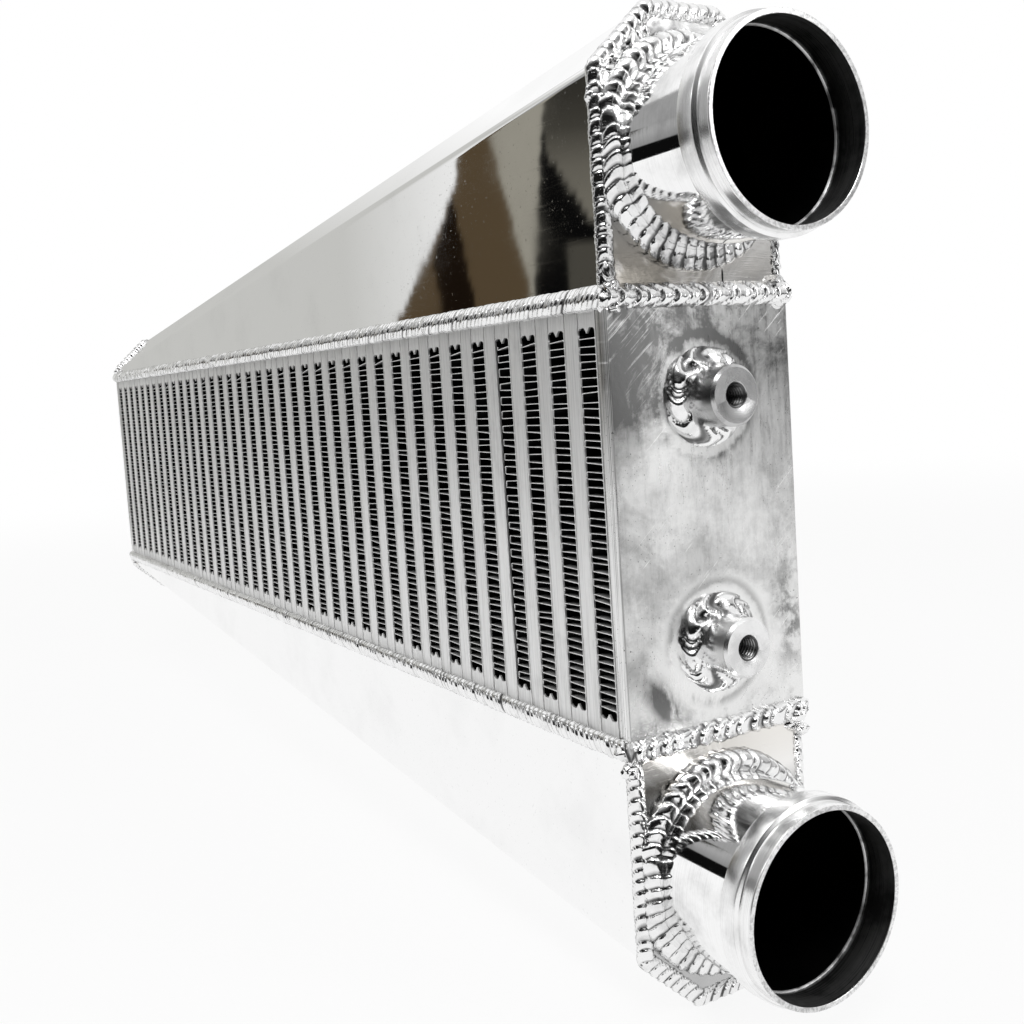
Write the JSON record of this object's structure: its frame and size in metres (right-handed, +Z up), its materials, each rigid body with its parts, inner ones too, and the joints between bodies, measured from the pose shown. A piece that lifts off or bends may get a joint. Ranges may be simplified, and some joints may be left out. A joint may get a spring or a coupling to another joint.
{
  "type": "intercooler",
  "caption": "Bar-and-plate air-to-air intercooler with tapering folded tanks, beaded hose pipes at one end and threaded mounting bosses.",
  "frame": {"origin": "centre of the bounding box, which is 14.9 mm from the middle of the core, towards the pipes' side", "axes": "+X along the length towards the pipes, +Y from the front face to the rear face, +Z up along the charge passages"},
  "size_m": [0.7398, 0.08, 0.3306],
  "materials": {
    "side_plate": "mill finish with scratches and smudges",
    "separator_sheet": "mill finish",
    "bar": "satin mill finish",
    "fin": "thin bright strip",
    "tank_sheet": "mirror polished",
    "pipe": "polished outside, dark inside",
    "boss": "turned, bright",
    "weld_bead": "bright rippled bead"
  },
  "bodies": {
    "root": {"near_side_plate": "side_plate", "far_side_plate": "side_plate", "separator_sheets": "separator_sheet", "charge_bars_front": "bar", "charge_bars_rear": "bar", "cooling_bars_top": "bar", "cooling_bars_bottom": "bar", "cooling_fins": "fin", "charge_fins": "fin", "top_tank": "tank_sheet", "top_tank_near_cap": "tank_sheet", "top_tank_far_cap": "tank_sheet", "bottom_tank": "tank_sheet", "bottom_tank_near_cap": "tank_sheet", "bottom_tank_far_cap": "tank_sheet", "pipes": "pipe", "bosses": "boss", "top_tank_core_weld": "weld_bead", "top_near_cap_weld": "weld_bead", "top_far_cap_weld": "weld_bead", "bottom_tank_core_weld": "weld_bead", "bottom_near_cap_weld": "weld_bead", "bottom_far_cap_weld": "weld_bead", "pipe_welds": "weld_bead", "boss_welds": "weld_bead"}
  },
  "joints": []
}
